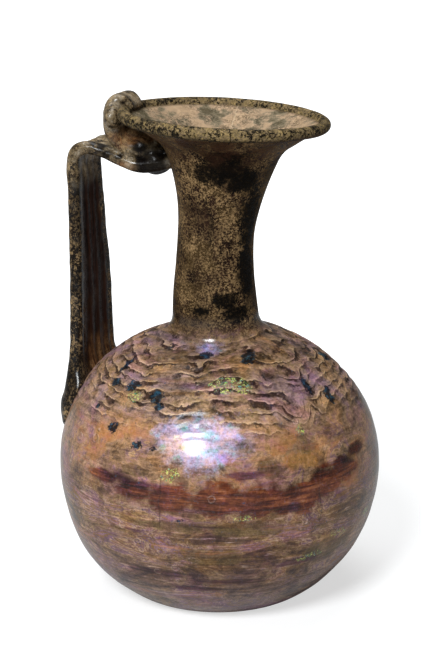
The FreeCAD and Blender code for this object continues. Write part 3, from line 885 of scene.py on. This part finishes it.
# Painted highlight: a pale cyan and lilac glow round the gleams, laid on with the torn layers below.
painted_gleam = gate(plus(mask_of("painted_gleam"), fray, 1.4), 0.70, 2.00)
painted_gleam_colour = ramp(cloud(mm, 0.35, 3.0, 0.6), {
    0.34: "7ED0DC", 0.42: "A8C0E8", 0.50: "BCB4E0", 0.58: "C8B0D0", 0.66: "D0C4B0",
})
rust_edge = minus(plus(times(film, 0.6), hair["Height"], 0.4), 0.5)
rust = gate(plus(mask_of("maroon"), rust_edge, 4.0), -0.05, 0.75)
rust_colour = ramp(plus(times(film, 0.55), hair["Height"], 0.45), {
    0.38: "120403", 0.44: "2C0A05", 0.49: "431508", 0.54: "5A2A0F", 0.60: "74421F",
    0.66: "8A6444",
})
body = over(rust, 0.94, body, rust_colour)
plum = gate(plus(mask_of("plum"), fray, 0.8, film, 2.0), 1.65, 2.45)
body = over(plum, 0.90, body, mix(hair["Mask"], "2A141A", "4A2A34"))
print("belly: patches mixed in")

# %% Torn layers on the shoulder, with painted shade on their cliffs and painted highlights on their crests
SEAMS_PER_LAYER = 2.7
layer = plus(mask_of("layers"), cloud(mm, 0.17, 5.0, 0.60), 1.6)
step = sum_of("FRACT", layer)
broken = gate(cloud(mm, 0.16, 5.0, 0.65), 0.42, 0.56)
thick = gate(cloud(mm, 0.33, 4.0, 0.7), 0.40, 0.62)
# Cliffs: dark torn edges, partly painted shade on the drop of each layer.
cliff_and_shade = gate(plus(step, thick, 0.45), 0.72, 0.95)
cliff_and_shade = times(cliff_and_shade, rest_of(gate(step, 0.95, 1.0)))
cliff_and_shade = times(cliff_and_shade, plus(0.40, broken, 0.60), torn_here)
seam = rest_of(gate(sum_of("FRACT", times(layer, SEAMS_PER_LAYER)), 0.0, 0.30))
seam = times(seam, plus(0.3, thick, 0.7), torn_here)
# Crests: pale raised edges, partly a painted highlight on the top of each layer.
crest_and_highlight = times(rest_of(gate(step, 0.0, 0.22)), broken, torn_here)
crust = ramp(plus(times(mottle, 0.6), ragged, 0.4), {
    0.36: "40301F", 0.43: "6A5636", 0.49: "8C7052", 0.54: "A48868", 0.59: "70603A",
    0.65: "6A5660",
})
crust = over(gate(drifting, 0.48, 0.60), 0.7, crust, "86747E")
cliff_and_shade_colour = mix(gate(ragged, 0.4, 0.6), "1A110C", "3A281C")
# Crust and seams are the skin's colour; the cliffs carry painted shade, the crests a painted highlight, and
# the last is the painted highlight glow.
for mask, share, colour in (
    (torn_here, 0.70, crust), (seam, 0.70, "36261A"), (crest_and_highlight, 0.70, "C8AC88"),
    (cliff_and_shade, 0.94, cliff_and_shade_colour), (painted_gleam, 0.75, painted_gleam_colour),
):
    body = over(mask, share, body, colour)
print("belly: torn layers drawn")

# %% Stains, and the glitter that is laid on last
soot = gate(plus(mask_of("soot"), fray, 3.4), 2.05, 2.30)
soot_colour = ramp(cloud(mm, 0.9, 3.0), {0.42: "08080A", 0.52: "0E1824", 0.62: "1C4254"})
body = over(soot, 0.95, body, soot_colour)
spark = gate(cloud(mm, 1.7, 5.0, 0.8, 0.6), 0.50, 0.60)
glitter = times(gate(mask_of("glitter"), 0.15, 0.6), spark)
glitter_colour = ramp(cloud(mm, 1.1, 2.0, 0.6), {
    0.38: "2E8A6A", 0.46: "B0CC5A", 0.54: "E0D07A", 0.62: "5AB0A4",
})
print("belly: stains")

# %% Burst bubbles and cracks
BUBBLES_PER_MM = 0.22
CHOSEN_FROM = 0.60
cells = add("TexVoronoi", {"Vector": mm, "Scale": BUBBLES_PER_MM}).node
chosen = add("SeparateColor", {0: cells.outputs["Color"]}).node
size = rescale(chosen.outputs[1], 0.0, 1.0, 0.05, 0.22)
from_ring = sum_of("ABSOLUTE", minus(cells.outputs["Distance"], size))
ring = rest_of(gate(from_ring, 0.020, 0.065))
low_belly = times(gate(height, *BUBBLES_FROM), rest_of(gate(height, *BUBBLES_TO)))
bubble = times(ring, gate(chosen.outputs[0], CHOSEN_FROM, CHOSEN_FROM + 0.02), low_belly)
body = over(bubble, plus(-0.8, fray, 2.0), body, "AC988C")
cracks = plus(crack(mm, -32, 28, 37, mottle), crack(mm, -89, 29, 41, mottle), 1.0)
body = over(cracks, 0.5, body, "2A1C16")
print("belly: bubbles and cracks")

# %% Deepen the belly's tones, let its hue drift, and add the glitter
depth = plus(times(film, 0.30), hair["Height"], 0.20, fray, 0.25, mottle, 0.25)
body = mix(1.0, body, rescale(depth, 0.42, 0.58, 0.42, 1.70), "MULTIPLY")
hue_drift = cloud(stretched(mm, (0.7, 0.7, 1.0)), 0.11, 5.0, 0.66, 1.0)
hues = ramp(hue_drift, {0.37: "FFE8CA", 0.46: "F4ECE6", 0.54: "F2E8F0", 0.62: "F0D6FC"})
body = mix(0.9, body, hues, "MULTIPLY")
body = add("HueSaturation", {"Color": body, "Saturation": 0.98, "Value": 1.02})
body = over(glitter, 0.90, body, glitter_colour)
print("belly: tones set")

# %% Neck
grains = use_group(sand, mm, 2.0, 0.52)
upright = stretched(mm, (1.0, 1.0, 0.08))
pull = use_group(streaks, upright, 0.9, 0.2)
dark_neck = mix(pull["Mask"], "110906", "2C1C14")
dark_neck = mix(gate(cloud(mm, 0.12, 3.0, 0.6), 0.45, 0.62), dark_neck, "3E2F1A")
sandy = mix(grains["Tone"], "685238", "A4865E")
bare = gate(cloud(mm, 0.11, 4.0, 0.6), 0.40, 0.60)
neck = over(grains["Mask"], plus(1.0, bare, -0.75), dark_neck, sandy)
black = gate(plus(mask_of("black"), fray, 1.6, grains["Mask"], -0.35), 0.70, 1.50)
neck = over(black, 0.96, neck, "040302")
reddish = times(gate(height, *NECK_REDDENS), gate(mottle, 0.40, 0.60))
neck = over(reddish, 0.6, neck, "4A2E20")
print("neck: sand over dark glass")

# %% Rim and mouth
rim_zone = times(gate(height, *RIM_BEGINS), rest_of(inside_mouth))
rim_grains = use_group(sand, mm, 1.3, 0.56)
rim_colour = mix(rim_grains["Mask"], "12100C", mix(rim_grains["Tone"], "A08858", "7A6852"))
rim_colour = over(rest_of(grains["Mask"]), 0.45, rim_colour, "2A2418")
neck = mix(rim_zone, neck, rim_colour)
# Painted shade: a dark line in the crease under the rolled rim.
neck = over(mask_of("painted_crease_shade"), 0.95, neck, "0E0906")
mouth = ramp(cloud(mm, 0.14, 5.0, 0.72), {
    0.38: "5C523E", 0.45: "7E725C", 0.51: "AA9074", 0.60: "B49878", 0.68: "9C846A",
})
speck = times(grains["Mask"], gate(cloud(mm, 0.2, 3.0, 0.6), 0.40, 0.62))
mouth = over(speck, 0.75, mouth, "3C362A")
mouth = over(crack(mm, 97, 106, 121, mottle), 0.45, mouth, "C8B496")
neck = mix(inside_mouth, neck, mouth)
neck = over(crack(mm, -63, 116, 121, mottle), 0.9, neck, "0E0A08")
neck_zone = gate(plus(height, ragged, 6.0), *NECK_BEGINS)
print("rim and mouth: speckled edge, sandy inside")

# %% Gloss and relief of the vessel
rough_body = rescale(mottle, 0.35, 0.65, 0.30, 0.48)
rough_torn = mix(torn_here, rough_body, (0.55, 0.55, 0.55, 1))
rough_neck = rescale(grains["Mask"], 0.0, 1.0, 0.42, 0.75)
coat = plus(0.78, times(torn_here, gate(height, *COAT_DULLS)), -0.5)
feed(shader, {
    "Base Color": mix(neck_zone, body, neck),
    "Roughness": mix(neck_zone, rough_torn, rough_neck),
    "Specular IOR Level": 0.05,
    "Coat Weight": times(coat, rest_of(gate(height, *COAT_ENDS))),
    "Coat Roughness": 0.18,
    "Coat IOR": COAT_IOR,
    "Normal": bumps(
        (streak["Height"], 0.30), (hair["Height"], 0.22), (plus(ragged, fray, 0.6), 0.24),
        (times(rest_of(step), torn_here), STEP_DEPTH),
        (plus(bubble, cracks, -0.5), 0.14), (times(grains["Mask"], neck_zone), 0.08),
    ),
})
vessel.data.materials.append(belly_material)
print("vessel: material set")

# %% [markdown]
# ## The dark glass of the strap
# The strap is darker than the body because its glass is thicker. Its grooves are bare and nearly
# black, and the inner face is darkened further by painted shade, with painted brown highlights
# along the ribs; its two edges carry sand like a spotted pelt. The streaks follow the strap round
# its bends, so they read the place that was measured along it.

# %% Colours of the strap
BARE_TO_DUSTY = (0.7, 0.2)
strap_material, shader, mm = new_material("dark_glass")
along = add("Attribute", output=1, attribute_name="strap_place")
drawn = stretched(along, (1.0, 0.05, 0.4))
rib_streak = use_group(streaks, drawn, 0.75, 0.3)
rib_hair = use_group(streaks, drawn, 2.2, 0.5)
# Inner face: bare dark glass, made darker as painted shade, with painted brown highlights streaked along the
# ribs.
face = mix(rib_streak["Mask"], "0C0504", "321910")
face = over(rib_hair["Mask"], 0.30, face, "4A2E1E")
broad = cloud(mm, 0.10, 3.0, 0.6)
face = over(gate(broad, 0.5, 0.68), 0.5, face, "4A3422")
spots = use_group(sand, mm, 1.4, 0.44)
dust = use_group(sand, mm, 2.2, 0.45)
pelt = mix(spots["Mask"], "0C0907", mix(spots["Tone"], "745E46", "9A8058"))
pelt = over(dust["Mask"], 0.45, pelt, "2A2018")
pelt = over(gate(broad, 0.54, 0.44), 0.6, pelt, "100C0A")
loop_tone = cloud(mm, 0.32, 4.0, 0.65)
loop = ramp(loop_tone, {
    0.36: "120F0C", 0.42: "3A2F22", 0.48: "766448", 0.56: "96866E", 0.64: "B0A28C",
})
loop = over(spots["Mask"], 0.6, loop, "A48C68")
loop = over(dust["Mask"], 0.6, loop, "1C1610")
warm = mix(rib_hair["Mask"], "3C2416", "845C3A")
warm = over(dust["Mask"], 0.5, warm, "2A1A10")
warm = over(spots["Mask"], 0.5, warm, "9C7C54")
at_edge, on_loop, dark_glass_and_shade = (mask_of(name) for name in ("at_edge", "on_loop", "dark_glass_and_shade"))
face = mix(on_loop, face, loop)
pelt = over(on_loop, 0.7, pelt, loop)
colour = mix(at_edge, face, pelt)
colour = over(mask_of("warm_place"), 0.8, colour, warm)
# Nearly black: dark glass, and painted shade in the pit, the slot under the loop and under the bar.
colour = over(dark_glass_and_shade, 0.95, colour, "0A0706")
print("strap: colours mixed")

# %% Gloss and relief of the strap
bright = sum_of("MAXIMUM", at_edge, on_loop)
gloss = times(rescale(dust["Mask"], 0.0, 1.0, *BARE_TO_DUSTY), plus(0.05, bright, 0.95))
feed(shader, {
    "Base Color": colour,
    "Roughness": rescale(spots["Mask"], 0.0, 1.0, 0.30, 0.55),
    "Specular IOR Level": 0.04,
    "Coat Weight": times(gloss, plus(1.0, dark_glass_and_shade, -0.7)),
    "Coat Roughness": 0.20,
    "Coat IOR": COAT_IOR,
    "Normal": bumps(
        (rib_streak["Height"], 0.25), (times(spots["Mask"], at_edge), 0.08), (loop_tone, 0.25)
    ),
})
handle.data.materials.append(strap_material)
print("strap: material set")

# %% [markdown]
# ## A plain studio
# A pale floor, a bright room and two soft lights give the calm look of a museum record. The key
# light is near the camera, a little to its left and above, where the jug's main gleam asks for
# it. A wide one overhead fills the mouth and the shoulder.

# %% Camera
TILT = math.radians(15.5)
AWAY = 0.480
FOCAL_PX, LONG_SIDE_PX, SENSOR = 1953.0, 658.0, 36.0
AIM_HEIGHT, AIM_LEFT = 66.5, 1.72
back = Vector((*(FRONT[:2] * math.cos(TILT)), math.sin(TILT)))
right = Vector(RIGHT)
up = back.cross(right)
target = Vector((0, 0, AIM_HEIGHT * MM)) - right * AIM_LEFT * MM
camera = stand("camera", bpy.data.cameras.new("camera"))
camera.data.sensor_width = SENSOR
camera.data.lens = FOCAL_PX / LONG_SIDE_PX * SENSOR
camera.data.clip_start = 0.01
facing = Matrix((right, up, back)).transposed().to_4x4()
camera.matrix_world = Matrix.Translation(target + back * AWAY) @ facing
bpy.context.scene.camera = camera
print("camera lens:", round(camera.data.lens, 1), "mm")

# %% Lights
LIGHT_AWAY = 0.9
LIGHT_AIM = Vector((0, 0, 0.05))
LIGHT_COLOUR = (0.95, 0.98, 1.0)


def soft_light(name, direction, size, power):
    """A round light, with its direction given as shares to the right, up and to the camera."""
    light = stand(name, bpy.data.lights.new(name, "AREA"))
    light.data.shape = "DISK"
    light.data.size = size
    light.data.energy = power
    light.data.color = LIGHT_COLOUR
    toward = (right * direction[0] + up * direction[1] + back * direction[2]).normalized()
    light.location = LIGHT_AIM + toward * LIGHT_AWAY
    light.rotation_euler = toward.to_track_quat("Z", "Y").to_euler()


soft_light("key", (-0.29, 0.37, 0.88), 0.28, 9.8)
soft_light("over", (-0.1, 1.0, 0.1), 0.8, 6.0)

# %% The bright room, dimmer as a light than as a backdrop
ROOM_LIGHT = 0.16
world = bpy.data.worlds.new("bright_room")
world.use_nodes = True
room = Loom.tree = world.node_tree
room.nodes["Background"].inputs[0].default_value = (1, 1, 1, 1)
seen = add("LightPath", output=0)
room.links.new(plus(ROOM_LIGHT, seen, 1 - ROOM_LIGHT), room.nodes["Background"].inputs[1])
bpy.context.scene.world = world
bpy.context.scene.view_settings.view_transform = "Standard"

# %% Floor
floor_form = bmesh.new()
bmesh.ops.create_grid(floor_form, x_segments=2, y_segments=2, size=3.0)
floor_mesh = bpy.data.meshes.new("pale_floor")
floor_form.to_mesh(floor_mesh)
floor_form.free()
floor = stand("pale_floor", floor_mesh)
floor_material, shader, mm = new_material("pale_floor")
GLOW_FROM, GLOW_FULL = 90, 320
glow = gate(add("VectorMath", {0: mm}, 1, operation="LENGTH"), GLOW_FROM, GLOW_FULL)
feed(shader, {
    "Base Color": (0.45, 0.45, 0.45, 1),
    "Roughness": 0.9,
    "Specular IOR Level": 0.0,
    "Emission Color": (1, 1, 1, 1),
    "Emission Strength": times(add("LightPath", output=0), plus(0.62, glow, 0.5)),
})
floor_mesh.materials.append(floor_material)
print("studio ready")
